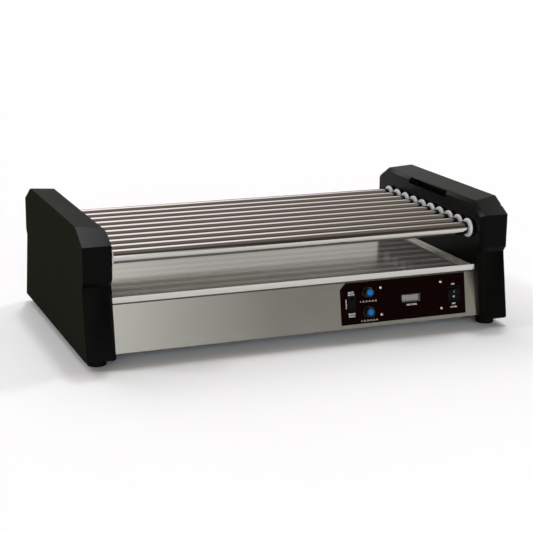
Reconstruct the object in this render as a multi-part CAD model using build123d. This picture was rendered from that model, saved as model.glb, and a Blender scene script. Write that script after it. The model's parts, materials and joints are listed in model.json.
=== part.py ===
from build123d import *
import os
from math import atan, cos, degrees, hypot, radians, sin, sqrt, tan

# Roller grill, in millimetres. +X runs to the right along the rollers, -Y faces the cook and +Z is up.
# The origin lies on the counter, under the middle of the machine.

# Whole machine
machine_width = 850.0
foot_height = 15.0
overrun = 2.0  # how far a cut reaches past the face that it opens

# End housings: outline seen along the rollers, measured from the housings' underside
end_thickness = 57.0
end_height = 233.0
end_base_depth = 486.0
end_waist_depth = 438.0
end_upper_depth = 454.0
end_top_depth = 355.0
waist_height = 130.0
waist_step_height = 11.0
bevel_drop = 28.0
top_fall = 6.0  # the top face falls towards the rollers
inner_chamfer = 6.5
shell_wall = 3.0

# Finger recess in the inner top edge of each housing
grip_mouth = 160.0
grip_back = 144.0
grip_depth = 18.0
grip_height = 12.5
grip_lip = 1.5

# Outer cover of each housing, located by a rib in the shell's mouth
cover_thickness = 2.0
cover_reveal = 0.5
cover_rib_depth = 6.0
cover_rib_wall = 2.0
cover_rib_clearance = 0.4
cover_notch_radius = 2.6

# Push-in rubber feet
foot_base_diameter = 36.0
foot_top_diameter = 29.0
foot_rim_height = 4.0
foot_setback = 35.0
foot_spigot_diameter = 8.0
foot_spigot_reach = 2.5
foot_spigot_clearance = 0.2

# Rollers: thin tubes with a welded drive stub at the right end
roller_count = 10
roller_pitch = 38.1
roller_diameter = 25.4
roller_wall = 1.2
row_centre_y = -12.0
bed_drop = 59.2  # housing top down to the roller axes
stub_diameter = 17.0
stub_bore = 12.0
stub_plug = 4.0
stub_past_sprocket = 3.0

# Flanged bushes: a rubber seal lies under each flange, a six-sided neck keeps the bush from turning in the wall
bush_flange = 4.5
bush_seal = 4.0
bush_seal_inset = 0.65  # flange radius over the seal's
bush_running_clearance = 0.08
bush_neck_wall = 1.4
bush_neck_past_plate = 2.0
bush_seat_clearance = 0.1
bush_flange_gap = 1.6  # space left between neighbouring flanges
bush_sides = 6

# Side plates inside the housings
side_plate_thickness = 2.0
side_plate_clearance = 0.5

# Chain drive: sprockets on the rollers' right ends, the motor's sprocket below the middle of the row
links_per_roller = 4
sprocket_teeth = 10
chain_roller_diameter = 5.08
link_height = 8.6
link_waist_height = 6.6
link_plate = 1.3
sprocket_thickness = 4.2
chain_side_play = 0.3
tooth_seat_clearance = 0.15
tooth_height = 2.0  # above the pitch circle
tooth_flank_angle = 30.0
tube_end_clearance = 1.0
sprocket_seat_clearance = 0.05
sprocket_offset = 9.0  # tube end to the middle of the sprocket
pin_sides = 6

# Gear motor, in the base against the right housing
shaft_diameter = 10.0
shaft_clearance = 0.05
shaft_hole_clearance = 1.5
shaft_engagement = 20.0
gearbox_width = 84.0
gearbox_height = 60.0
gearbox_length = 32.0
gearbox_spacer = 4.0
gearbox_foot_diameter = 8.0
gearbox_foot_margin = 7.0
gearbox_boss_diameter = 22.0
motor_diameter = 52.0
motor_length = 66.0

# Heating rods, still inside the turning rollers, held in slotted bars at both ends
rod_diameter = 8.0
rod_slot_clearance = 0.15
rod_past_bar = 8.0
bar_thickness = 2.0
bar_clearance = 6.0  # roller end to the bar
bar_above_rod = 8.0
bar_end_margin = 8.0
bar_post_diameter = 8.0
bar_post_clearance = 4.0
bar_post_spacing = 120.0
bar_below_post = 6.0

# Base: slanted front panel, upright rear panel, deck and bottom pan, all folded from one gauge of sheet
sheet = 1.2
panel_low = 6.6
panel_high = 94.4
panel_setback = 13.6
panel_flange = 20.0
sheet_fit = 0.3
end_flange = 10.0
vent_length = 60.0
vent_width = 5.0
vent_columns = 6
vent_rows = 4
vent_column_pitch = 90.0
vent_row_pitch = 14.0

# Drip tray, which lies on the panels' top flanges and pulls out to the front
tray_sheet = 1.0
tray_clearance = 0.2
tray_side_clearance = 1.5
tray_setback = 1.5
tray_front_height = 11.5
tray_side_height = 8.0

# Cord gland in the rear panel
gland_end_gap = 118.0  # from the right housing
gland_rise = 44.0  # above the panel's lower edge
gland_bore = 9.0
gland_neck_diameter = 16.0
gland_flange_diameter = 24.0
gland_flange = 4.0
gland_nut_diameter = 22.0
gland_nut = 6.0
gland_hole_clearance = 0.2

# Control plate on the front panel: x from its left edge, rises from the panel's lower edge along the slope
plate_width = 266.5
plate_end_gap = 26.5
plate_low_margin = 7.2
plate_high_margin = 2.2
plate_corner_cut = 12.0
plate_thickness = 1.0

# Heat knobs and the rotary controls behind them
knob_place_x = 55.0
knob_spacing = 37.6
knob_pair_rise = 1.0  # above the middle of the plate
knob_collar_diameter = 21.6
knob_collar_height = 4.0
knob_diameter = 18.8
knob_height = 15.0
knob_edge = 1.2
knob_clearance = 0.5
knob_hollow_diameter = 13.0
knob_hollow_depth = 5.0
knob_stem_diameter = 6.0
knob_stem_clearance = 0.05
knob_stem_reach = 8.0
knob_stem_end_gap = 1.0
knob_mark_width = 1.6
knob_mark_depth = 0.8
cap_diameter = 11.6
cap_thickness = 2.4
cap_proud = 0.6
cap_edge = 0.5
cap_clearance = 0.1
control_diameter = 22.0
control_depth = 13.0
bushing_diameter = 9.0
bushing_past_plate = 3.0
bushing_hole_clearance = 0.3

# Rocker switches
zone_place_x = 22.7
zone_rocker_width = 8.6
zone_rocker_height = 18.0
power_place_x = 241.0
power_rocker_width = 20.0
power_rocker_height = 20.5
rocker_tilt = 10.0  # to either side of level
rocker_end_rise = 5.0
rocker_middle_rise = 3.4
rocker_end_drop = 1.0
rocker_middle_drop = 4.0
rocker_gap = 0.4
rocker_pivot_depth = 1.0
rocker_pin_diameter = 2.4
rocker_pin_reach = 1.2
rocker_pin_clearance = 0.05
switch_bezel = 2.0
switch_bezel_rim = 3.0
switch_wall = 1.8
switch_depth = 22.0
switch_opening_depth = 9.0
switch_hole_clearance = 0.2

# Display, control board and the screws that hold the board's standoffs to the panel
screw_place_x = 84.1
screw_span_x = 129.3
screw_span_rise = 51.5
screw_shank_diameter = 3.0
screw_shank_clearance = 0.15
screw_head_diameter = 6.8
screw_head_height = 2.2
screw_head_crown = 3.4
screw_reach = 9.0
board_thickness = 1.6
board_margin = 6.0
standoff_diameter = 7.0
standoff_height = 12.0
display_width = 39.3
display_height = 14.2
display_lap = 0.5  # how far the window laps over the panel round its cut-out
display_fit = 0.2
display_margin = 1.15  # space round the digit block in the cut-out
display_recess = 5.0

# Places worked out from the sizes above
outer_x = machine_width / 2
inner_x = outer_x - end_thickness
cover_x = outer_x - cover_thickness
side_plate_x = inner_x + shell_wall
side_plate_outer_x = side_plate_x + side_plate_thickness
bush_end_x = side_plate_outer_x + bush_neck_past_plate
tube_end_x = bush_end_x + tube_end_clearance
sprocket_x = tube_end_x + sprocket_offset
stub_end_x = sprocket_x + sprocket_thickness / 2 + stub_past_sprocket
right_bar_x = stub_end_x + bar_clearance
left_bar_x = tube_end_x + bar_clearance

axis_z = foot_height + end_height - bed_drop
bush_bore_radius = roller_diameter / 2 + bush_running_clearance
bush_neck_apothem = bush_bore_radius + bush_neck_wall
bush_flange_radius = (roller_pitch - bush_flange_gap) / 2
seal_x = inner_x - bush_seal

chain_pitch = roller_pitch / links_per_roller
tooth_angle = 360 / sprocket_teeth
pitch_radius = chain_pitch / 2 / sin(radians(tooth_angle / 2))
tip_radius = pitch_radius + tooth_height
chain_inner_width = sprocket_thickness + 2 * chain_side_play

panel_lean = (end_base_depth - end_waist_depth) / 2 / waist_height
panel_slope = atan(panel_lean)
panel_low_z = foot_height + panel_low
panel_high_z = foot_height + panel_high
panel_low_y = panel_setback - end_base_depth / 2 + panel_low * panel_lean
panel_high_y = panel_low_y + (panel_high - panel_low) * panel_lean
rear_panel_y = end_waist_depth / 2 - panel_setback
base_middle_z = (panel_low_z + panel_high_z) / 2
gland_x = inner_x - gland_end_gap

# A whole number of links in each slanting run brings the motor near the middle of the base
half_row_links = links_per_roller * (roller_count - 1) / 2
run_links = round(hypot(half_row_links, (axis_z - base_middle_z) / chain_pitch))
motor_drop = chain_pitch * sqrt(run_links**2 - half_row_links**2)
motor_z = axis_z - motor_drop
run_angle = degrees(atan(motor_drop / (half_row_links * chain_pitch)))

panel_plane = Plane(
    origin=(0, panel_low_y, panel_low_z),
    x_dir=(1, 0, 0),
    z_dir=(0, -cos(panel_slope), sin(panel_slope)),
)
plate_left = inner_x - plate_end_gap - plate_width
plate_top = (panel_high - panel_low) / cos(panel_slope) - plate_high_margin
plate_middle = (plate_low_margin + plate_top) / 2
knob_x = plate_left + knob_place_x
rocker_pivot_z = -rocker_pivot_depth
screw_x = plate_left + screw_place_x + screw_span_x / 2
board_front_z = -sheet - standoff_height


def block(low, high):
    """Box between two opposite corners."""
    size = [top - bottom for bottom, top in zip(low, high)]
    middle = [(top + bottom) / 2 for bottom, top in zip(low, high)]
    return Pos(*middle) * Box(*size)


def along_x(sketch, low_x, high_x, y=0, z=0):
    """Prism along X of a sketch in Y and Z, drawn about an axis at y, z."""
    return extrude(Plane.YZ.offset(low_x) * Pos(y, z) * sketch, high_x - low_x)


def turned(points, axis=Axis.X):
    """Solid of revolution of a closed outline in the XY plane."""
    return revolve(make_face(Polyline(*points, close=True)), axis)


def turned_out(points):
    """Solid of revolution about the panel's normal, from points of radius and height."""
    outline = make_face(Polyline(*points, close=True))
    return revolve(Plane.XZ * outline, Axis.Z)


def on_left(shape):
    """The same piece in the left housing."""
    return mirror(shape, about=Plane.YZ)


def roller_y(index):
    """Place of a roller's axis, counted from the front."""
    return row_centre_y + (index - (roller_count - 1) / 2) * roller_pitch


def roller_places():
    """Axis of every roller, in Y and Z."""
    return [(roller_y(index), axis_z) for index in range(roller_count)]


def polar(centre, angle, radial, across=0):
    """Point at a radius and an offset across it, in Y and Z about a centre."""
    turn = radians(angle)
    y = centre[0] + radial * cos(turn) - across * sin(turn)
    z = centre[1] + radial * sin(turn) + across * cos(turn)
    return y, z


# End housings

def end_outline():
    """Housing outline, the same at the front and at the back."""
    back = [
        (end_base_depth / 2, foot_height),
        (end_waist_depth / 2, foot_height + waist_height),
        (end_upper_depth / 2, foot_height + waist_height + waist_step_height),
        (end_upper_depth / 2, foot_height + end_height - bevel_drop),
        (end_top_depth / 2, foot_height + end_height),
    ]
    front = [(-y, z) for y, z in reversed(back)]
    return make_face(Polyline(*back, *front, close=True))


def above_top(inset):
    """Space above the top face, which falls towards the rollers."""
    high = foot_height + end_height - inset
    section = Polyline(
        (inner_x, high - top_fall),
        (outer_x, high),
        (outer_x + overrun, high + inset + overrun),
        (inner_x - overrun, high + inset + overrun),
        (inner_x - overrun, high - top_fall),
        close=True,
    )
    return extrude(Plane.XZ * make_face(section), end_base_depth, both=True)


def end_block(inset, low_x, high_x):
    """Prism of the housing's outline, drawn in all round by an inset."""
    outline = end_outline()
    if inset:
        outline = offset(outline, -inset, kind=Kind.INTERSECTION)
    return along_x(outline, low_x, high_x) - above_top(inset)


def eased_block(inset, low_x, high_x):
    """Housing prism with a chamfer round its inner face, except along the bottom."""
    solid = end_block(inset, low_x, high_x)
    inner_edges = solid.edges().group_by(Axis.X)[0]
    rim = inner_edges.filter_by(lambda edge: edge.center().Z > foot_height + inset + overrun)
    return chamfer(rim, inner_chamfer)


def grip_recess(grow):
    """Finger recess under the top face, or the body of its walls when grown."""
    ceiling = foot_height + end_height - top_fall - grip_lip
    plan = Polyline(
        (inner_x - overrun, -grip_mouth / 2 - grow),
        (inner_x, -grip_mouth / 2 - grow),
        (inner_x + grip_depth + grow, -grip_back / 2 - grow),
        (inner_x + grip_depth + grow, grip_back / 2 + grow),
        (inner_x, grip_mouth / 2 + grow),
        (inner_x - overrun, grip_mouth / 2 + grow),
        close=True,
    )
    floor = Plane.XY.offset(ceiling - grip_height - grow)
    return extrude(floor * make_face(plan), grip_height + 2 * grow)


def bush_seats(low_x, high_x):
    """Six-sided holes for the bushes of one end."""
    hexagon = RegularPolygon(
        bush_neck_apothem + bush_seat_clearance, bush_sides, major_radius=False
    )
    return [along_x(hexagon, low_x, high_x, y, z) for y, z in roller_places()]


def shaft_hole(low_x, high_x):
    """Hole for the motor's shaft."""
    hole = Circle(shaft_diameter / 2 + shaft_hole_clearance)
    return along_x(hole, low_x, high_x, row_centre_y, motor_z)


def foot_places():
    """Middle of the feet under the right housing."""
    y = end_base_depth / 2 - foot_setback
    return [(outer_x - end_thickness / 2, -y), (outer_x - end_thickness / 2, y)]


def end_shell():
    """Moulded shell of the right housing, open towards its cover."""
    outside = eased_block(0, inner_x, cover_x)
    inside = eased_block(shell_wall, inner_x + shell_wall, cover_x + overrun)
    recess_walls = grip_recess(shell_wall) & outside
    shell = outside - inside + recess_walls - grip_recess(0)
    spigot_hole = Cylinder(
        foot_spigot_diameter / 2 + foot_spigot_clearance, 2 * (shell_wall + overrun)
    )
    holes = [Pos(x, y, foot_height) * spigot_hole for x, y in foot_places()]
    return shell - holes - bush_seats(inner_x - overrun, side_plate_x + overrun)


def end_cover():
    """Flat cover of the right housing, with notches to lift it by."""
    plate = end_block(cover_reveal, cover_x, outer_x)
    rib_inset = shell_wall + cover_rib_clearance
    rib = end_block(rib_inset, cover_x - cover_rib_depth, cover_x)
    rib_hollow = end_block(
        rib_inset + cover_rib_wall, cover_x - cover_rib_depth - overrun, cover_x + overrun
    )
    bevel_y = (end_upper_depth + end_top_depth) / 4
    bevel_z = foot_height + end_height - bevel_drop / 2
    places = [(side * bevel_y, bevel_z) for side in (-1, 1)]
    places += [(side * end_base_depth / 2, foot_height) for side in (-1, 1)]
    notch = Circle(cover_notch_radius)
    notches = [along_x(notch, cover_x - overrun, outer_x + overrun, y, z) for y, z in places]
    return plate + (rib - rib_hollow) - notches


def side_plate():
    """Steel plate against the shell's inner wall, below the finger recess."""
    inset = shell_wall + inner_chamfer + side_plate_clearance
    plate = end_block(inset, side_plate_x, side_plate_outer_x)
    recess = grip_recess(shell_wall + side_plate_clearance)
    low = (inner_x, -end_base_depth, recess.bounding_box().min.Z)
    high = (outer_x, end_base_depth, foot_height + end_height)
    seats = bush_seats(inner_x, side_plate_outer_x + overrun)
    return plate - block(low, high) - seats


def feet():
    """Rubber feet, flared at the bottom, with a spigot pressed up through each shell's floor."""
    spigot_top = foot_height + shell_wall + foot_spigot_reach
    foot = turned_out(
        [
            (0, 0),
            (foot_base_diameter / 2, 0),
            (foot_base_diameter / 2, foot_rim_height),
            (foot_top_diameter / 2, foot_height),
            (foot_spigot_diameter / 2, foot_height),
            (foot_spigot_diameter / 2, spigot_top),
            (0, spigot_top),
        ]
    )
    right = [Pos(x, y) * foot for x, y in foot_places()]
    return Compound(children=right + [on_left(piece) for piece in right])


# Rollers, bushes and heating rods

def bush():
    """Flanged bush of a right roller end, about the X axis."""
    face_x = seal_x - bush_flange
    flange = along_x(Circle(bush_flange_radius), face_x, seal_x)
    hexagon = RegularPolygon(bush_neck_apothem, bush_sides, major_radius=False)
    bore = along_x(Circle(bush_bore_radius), face_x - overrun, bush_end_x + overrun)
    return flange + along_x(hexagon, seal_x, bush_end_x) - bore


def bushes():
    """The row of bushes of the right housing."""
    piece = bush()
    return Compound(children=[Pos(0, y, z) * piece for y, z in roller_places()])


def bush_seals():
    """Rubber rings between the bushes' flanges and the right housing."""
    ring = Circle(bush_flange_radius - bush_seal_inset)
    seats = bush_seats(seal_x - overrun, inner_x + overrun)
    rings = [along_x(ring, seal_x, inner_x, y, z) for y, z in roller_places()]
    return Compound(children=[whole - seat for whole, seat in zip(rings, seats)])


def roller():
    """Chrome tube about the X axis, with its welded plug and drive stub."""
    outside = roller_diameter / 2
    inside = outside - roller_wall
    return turned(
        [
            (-tube_end_x, inside),
            (-tube_end_x, outside),
            (tube_end_x, outside),
            (tube_end_x, stub_diameter / 2),
            (stub_end_x, stub_diameter / 2),
            (stub_end_x, stub_bore / 2),
            (tube_end_x - stub_plug, stub_bore / 2),
            (tube_end_x - stub_plug, inside),
        ]
    )


def heating_rods():
    """Straight rods through the rollers, past the bars at both ends."""
    low_x = -left_bar_x - bar_thickness - rod_past_bar
    high_x = right_bar_x + bar_thickness + rod_past_bar
    rod = Circle(rod_diameter / 2)
    return Compound(children=[along_x(rod, low_x, high_x, y, z) for y, z in roller_places()])


def rod_bar(low_x):
    """Slotted bar of the right end on two posts, with a slot down to each rod."""
    post_z = axis_z - tip_radius - bar_post_clearance - bar_post_diameter / 2
    low = (low_x, roller_y(0) - rod_diameter / 2 - bar_end_margin, post_z - bar_post_diameter / 2 - bar_below_post)
    high = (
        low_x + bar_thickness,
        roller_y(roller_count - 1) + rod_diameter / 2 + bar_end_margin,
        axis_z + bar_above_rod,
    )
    slot_half = rod_diameter / 2 + rod_slot_clearance
    slots = [
        block(
            (low_x - overrun, y - slot_half, z - slot_half),
            (low_x + bar_thickness + overrun, y + slot_half, high[2] + overrun),
        )
        for y, z in roller_places()
    ]
    post = Circle(bar_post_diameter / 2)
    posts = [
        along_x(post, side_plate_outer_x, low_x, row_centre_y + side * bar_post_spacing / 2, post_z)
        for side in (-1, 1)
    ]
    return block(low, high) - slots + posts


# Chain drive

def sprocket(centre):
    """Toothed disc with a tooth gap straight above its centre."""
    seat = chain_roller_diameter / 2 + tooth_seat_clearance
    flank = radians(tooth_flank_angle)
    low_radius = pitch_radius - seat
    low_half = seat * (1 - sin(flank)) / cos(flank)
    tip_half = seat / cos(flank) + tooth_height * tan(flank)
    points = []
    for tooth in range(sprocket_teeth):
        angle = 90 + tooth * tooth_angle
        points.append(polar(centre, angle, tip_radius, -tip_half))
        points.append(polar(centre, angle, low_radius, -low_half))
        points.append(polar(centre, angle, low_radius, low_half))
        points.append(polar(centre, angle, tip_radius, tip_half))
    low_x = sprocket_x - sprocket_thickness / 2
    disc = along_x(make_face(Polyline(*points, close=True)), low_x, low_x + sprocket_thickness)
    bore = Circle(stub_diameter / 2 + sprocket_seat_clearance)
    return disc - along_x(bore, low_x - overrun, low_x + sprocket_thickness + overrun, *centre)


def chain_joints():
    """Pin centres of the chain, from the top of the rear sprocket forwards and once round."""
    rear = (roller_y(roller_count - 1), axis_z)
    front = (roller_y(0), axis_z)
    motor = (row_centre_y, motor_z)
    top_links = links_per_roller * (roller_count - 1)
    wrap_links = round((180 - run_angle) / tooth_angle)
    leave_angle = 90 + wrap_links * tooth_angle
    joints = [(rear[0] - link * chain_pitch, axis_z + pitch_radius) for link in range(top_links + 1)]
    for link in range(1, wrap_links + 1):
        joints.append(polar(front, 90 + link * tooth_angle, pitch_radius))
    joints += straight_run(joints[-1], polar(motor, leave_angle, pitch_radius))
    meet_angle = 180 - leave_angle
    while leave_angle < meet_angle + 360:
        leave_angle += tooth_angle
        joints.append(polar(motor, leave_angle, pitch_radius))
    joints += straight_run(joints[-1], polar(rear, leave_angle, pitch_radius))
    for link in range(1, wrap_links):
        joints.append(polar(rear, leave_angle + link * tooth_angle, pitch_radius))
    return joints


def straight_run(start, end):
    """Pin centres of a slanting run, after its start and up to its end."""
    return [
        tuple(a + (b - a) * link / run_links for a, b in zip(start, end))
        for link in range(1, run_links + 1)
    ]


def beside(start, end, place, distance):
    """Point to the right of the way from start to end, at a distance from a place."""
    along_y = end[0] - start[0]
    along_z = end[1] - start[1]
    length = hypot(along_y, along_z)
    return place[0] + along_z / length * distance, place[1] - along_y / length * distance


def link_edge(joints, side):
    """Outer or inner edge of the link plates, waisted between the pins."""
    points = []
    for index, joint in enumerate(joints):
        before = joints[index - 1]
        after = joints[(index + 1) % len(joints)]
        middle = tuple((a + b) / 2 for a, b in zip(joint, after))
        points.append(beside(before, after, joint, side * link_height / 2))
        points.append(beside(joint, after, middle, side * link_waist_height / 2))
    return make_face(Polyline(*points, close=True))


def drive_chain():
    """Roller chain round the whole drive: two rows of link plates and the pins between them."""
    joints = chain_joints()
    plates = link_edge(joints, 1) - link_edge(joints, -1)
    near_x = sprocket_x - chain_inner_width / 2
    far_x = sprocket_x + chain_inner_width / 2
    pin = RegularPolygon(chain_roller_diameter / 2, pin_sides)
    pin_reach = link_plate / 2
    pins = [along_x(pin, near_x - pin_reach, far_x + pin_reach, y, z) for y, z in joints]
    near_row = along_x(plates, near_x - link_plate, near_x)
    far_row = along_x(plates, far_x, far_x + link_plate)
    return near_row.fuse(far_row, *pins)


def motor_shaft():
    """Output shaft of the gear motor, with the seat of its sprocket."""
    low_x = inner_x - gearbox_spacer - shaft_engagement
    seat_x = sprocket_x - sprocket_offset
    shaft = turned(
        [
            (low_x, 0),
            (low_x, shaft_diameter / 2),
            (seat_x, shaft_diameter / 2),
            (seat_x, stub_diameter / 2),
            (stub_end_x, stub_diameter / 2),
            (stub_end_x, 0),
        ]
    )
    return Pos(0, row_centre_y, motor_z) * shaft


def gear_motor():
    """Gearbox standing off the housing on four feet and its shaft boss, with the motor behind."""
    face_x = inner_x - gearbox_spacer
    back_x = face_x - gearbox_length
    gearbox = block(
        (back_x, row_centre_y - gearbox_width / 2, base_middle_z - gearbox_height / 2),
        (face_x, row_centre_y + gearbox_width / 2, base_middle_z + gearbox_height / 2),
    )
    motor = along_x(Circle(motor_diameter / 2), back_x - motor_length, back_x, row_centre_y, base_middle_z)
    boss = along_x(Circle(gearbox_boss_diameter / 2), face_x, inner_x, row_centre_y, motor_z)
    foot = Circle(gearbox_foot_diameter / 2)
    reach_y = gearbox_width / 2 - gearbox_foot_margin
    reach_z = gearbox_height / 2 - gearbox_foot_margin
    feet_on_wall = [
        along_x(foot, face_x, inner_x, row_centre_y + side * reach_y, base_middle_z + rise * reach_z)
        for side in (-1, 1)
        for rise in (-1, 1)
    ]
    bore = Circle(shaft_diameter / 2 + shaft_clearance)
    bore_x = face_x - shaft_engagement - shaft_clearance
    solid = gearbox + motor + boss + feet_on_wall
    return solid - along_x(bore, bore_x, inner_x + overrun, row_centre_y, motor_z)


# Base

def panel_section(low_y, high_y, inward):
    """C-shaped section of a folded panel; inward is the way that its flanges point along Y."""
    lean = (high_y - low_y) / (panel_high_z - panel_low_z)
    thickness_y = inward * sheet * hypot(1, lean)
    flange = inward * panel_flange
    past = inward * overrun
    outside = [
        (low_y, panel_low_z),
        (low_y + flange, panel_low_z),
        (high_y + flange, panel_high_z),
        (high_y, panel_high_z),
    ]
    inside = [
        (low_y + lean * sheet + thickness_y, panel_low_z + sheet),
        (low_y + flange + past, panel_low_z + sheet),
        (high_y + flange + past, panel_high_z - sheet),
        (high_y - lean * sheet + thickness_y, panel_high_z - sheet),
    ]
    return make_face(Polyline(*outside, close=True)) - make_face(Polyline(*inside, close=True))


def front_panel():
    """Slanted front panel with the openings behind the control plate."""
    panel = along_x(panel_section(panel_low_y, panel_high_y, 1), -inner_x, inner_x)
    cuts = [Pos(x, rise) * hole for x, rise, hole in control_holes(bushing_hole(), screw_hole())]
    cuts.append(Pos(display_x(), plate_middle) * through(Rectangle(*display_opening())))
    return panel - [panel_plane * cut for cut in cuts]


def rear_panel():
    """Upright rear panel with the hole of the cord gland."""
    panel = along_x(panel_section(rear_panel_y, rear_panel_y, -1), -inner_x, inner_x)
    hole = Cylinder(gland_neck_diameter / 2 + gland_hole_clearance, 2 * (sheet + overrun))
    return panel - gland_plane() * hole


def gland_plane():
    """Plane on the rear panel's outer face, at the cord gland."""
    return Plane(origin=(gland_x, rear_panel_y, panel_low_z + gland_rise), z_dir=(0, 1, 0))


def cord_gland():
    """Bushing for the mains cord, with its flange outside and its nut inside."""
    bore = gland_bore / 2
    neck = gland_neck_diameter / 2
    profile = [
        (bore, gland_flange),
        (gland_flange_diameter / 2, gland_flange),
        (gland_flange_diameter / 2, 0),
        (neck, 0),
        (neck, -sheet),
        (gland_nut_diameter / 2, -sheet),
        (gland_nut_diameter / 2, -sheet - gland_nut),
        (bore, -sheet - gland_nut),
    ]
    return gland_plane() * turned_out(profile)


def between_panels(z):
    """Front and rear limits, at a height, of a sheet that fits between the panels."""
    front = panel_low_y + (z - panel_low_z) * panel_lean + sheet * hypot(1, panel_lean)
    return front + sheet_fit, rear_panel_y - sheet - sheet_fit


def folded_sheet(low_z, flange_up, front, rear):
    """Flat sheet between the housings, with its two ends folded up or down."""
    flat = block((-inner_x, front, low_z), (inner_x, rear, low_z + sheet))
    fold_low = low_z if flange_up else low_z - end_flange
    fold_high = low_z + sheet + end_flange if flange_up else low_z + sheet
    right = block((inner_x - sheet, front, fold_low), (inner_x, rear, fold_high))
    return flat + right + on_left(right)


def base_pan():
    """Bottom pan on the panels' lower flanges, with rows of air slots."""
    low_z = panel_low_z + sheet
    front, rear = between_panels(low_z + sheet + end_flange)
    slot = Box(vent_length, vent_width, 2 * (sheet + overrun))
    middle = Pos(0, (front + rear) / 2, low_z)
    grid = GridLocations(vent_column_pitch, vent_row_pitch, vent_columns, vent_rows)
    slots = [middle * place * slot for place in grid]
    return folded_sheet(low_z, True, front, rear) - slots


def deck():
    """Deck under the tray, against the underside of the panels' upper flanges."""
    low_z = panel_high_z - 2 * sheet
    return folded_sheet(low_z, False, *between_panels(panel_high_z))


def drip_tray():
    """Shallow pan with a higher front edge."""
    width = inner_x - tray_side_clearance
    front = panel_high_y + tray_setback
    rear = rear_panel_y - tray_setback
    low_z = panel_high_z + tray_clearance
    pan = block((-width, front, low_z), (width, rear, low_z + tray_side_height))
    hollow = block(
        (-width + tray_sheet, front + tray_sheet, low_z + tray_sheet),
        (width - tray_sheet, rear - tray_sheet, low_z + tray_side_height + overrun),
    )
    lip = block((-width, front, low_z), (width, front + tray_sheet, low_z + tray_front_height))
    return pan - hollow + lip


# Controls, drawn on the panel's plane: x along it, y up the slope, z outwards

def through(sketch):
    """Cutter through the panel and the plate."""
    depth = sheet + plate_thickness + 2 * overrun
    return extrude(Plane.XY.offset(-sheet - overrun) * sketch, depth)


def bushing_hole():
    """Hole for a rotary control's bushing."""
    return through(Circle(bushing_diameter / 2 + bushing_hole_clearance))


def screw_hole():
    """Hole for a plate screw."""
    return through(Circle(screw_shank_diameter / 2 + screw_shank_clearance))


def knob_places():
    """Upper and lower knob."""
    middle = plate_middle + knob_pair_rise
    return [(knob_x, middle + side * knob_spacing / 2) for side in (1, -1)]


def screw_places():
    """The four screws of the control board."""
    return [
        (screw_x + side * screw_span_x / 2, plate_middle + rise * screw_span_rise / 2)
        for side in (-1, 1)
        for rise in (-1, 1)
    ]


def switch_sizes(power):
    """Place along X and rocker size of the power switch or of the zone switch."""
    if power:
        return plate_left + power_place_x, power_rocker_width, power_rocker_height
    return plate_left + zone_place_x, zone_rocker_width, zone_rocker_height


def switch_opening(power):
    """Opening in a switch body in which its rocker swings."""
    _, width, height = switch_sizes(power)
    return width + 2 * rocker_gap, 2 * (hypot(height / 2, rocker_end_rise) + rocker_gap)


def switch_barrel(power):
    """Outside of a switch body behind its bezel."""
    return [size + 2 * switch_wall for size in switch_opening(power)]


def control_holes(round_hole, small_hole):
    """Every hole that the panel and the plate share, with its place."""
    holes = [(x, rise, round_hole) for x, rise in knob_places()]
    holes += [(x, rise, small_hole) for x, rise in screw_places()]
    for power in (False, True):
        opening = [size + 2 * switch_hole_clearance for size in switch_barrel(power)]
        holes.append((switch_sizes(power)[0], plate_middle, through(Rectangle(*opening))))
    return holes


def display_x():
    """Middle of the display, half way between the screws."""
    return screw_x


def display_opening():
    """Cut-out of the panel behind the display window."""
    return display_width - 2 * display_lap, display_height - 2 * display_lap


def control_plate():
    """Dark plate over the panel, with one corner cut off."""
    right = plate_left + plate_width
    outline = Polyline(
        (plate_left, plate_low_margin),
        (right, plate_low_margin),
        (right, plate_top),
        (plate_left + plate_corner_cut, plate_top),
        (plate_left, plate_top - plate_corner_cut),
        close=True,
    )
    plate = extrude(make_face(outline), plate_thickness)
    cuts = [Pos(x, rise) * hole for x, rise, hole in control_holes(bushing_hole(), screw_hole())]
    window = Rectangle(display_width + 2 * display_fit, display_height + 2 * display_fit)
    cuts.append(Pos(display_x(), plate_middle) * through(window))
    return panel_plane * (plate - cuts)


def display_window():
    """Clear window in the plate, lying on the panel."""
    window = extrude(Rectangle(display_width, display_height), plate_thickness)
    return panel_plane * Pos(display_x(), plate_middle) * window


def display_module():
    """Digit block on the board, set back behind the window."""
    size = [length - 2 * display_margin for length in display_opening()]
    height = -board_front_z - display_recess
    module = extrude(Plane.XY.offset(board_front_z) * Rectangle(*size), height)
    return panel_plane * Pos(display_x(), plate_middle) * module


def control_board():
    """Circuit board on four tubular standoffs behind the panel."""
    half_x = screw_span_x / 2 + standoff_diameter / 2 + board_margin
    half_rise = screw_span_rise / 2 + standoff_diameter / 2 + board_margin
    board = block(
        (screw_x - half_x, plate_middle - half_rise, board_front_z - board_thickness),
        (screw_x + half_x, plate_middle + half_rise, board_front_z),
    )
    post = extrude(Circle(standoff_diameter / 2), standoff_height)
    bore = extrude(Circle(screw_shank_diameter / 2 + screw_shank_clearance), standoff_height + overrun)
    places = [Pos(x, rise, board_front_z) for x, rise in screw_places()]
    solid = board + [place * post for place in places]
    return panel_plane * (solid - [place * bore for place in places])


def control_screws():
    """Domed screws through the plate and the panel into the standoffs."""
    shank = screw_shank_diameter / 2
    screw = turned_out(
        [
            (0, plate_thickness - screw_reach),
            (shank, plate_thickness - screw_reach),
            (shank, plate_thickness),
            (screw_head_diameter / 2, plate_thickness),
            (screw_head_crown / 2, plate_thickness + screw_head_height),
            (0, plate_thickness + screw_head_height),
        ]
    )
    return Compound(children=[panel_plane * Pos(x, rise) * screw for x, rise in screw_places()])


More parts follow.
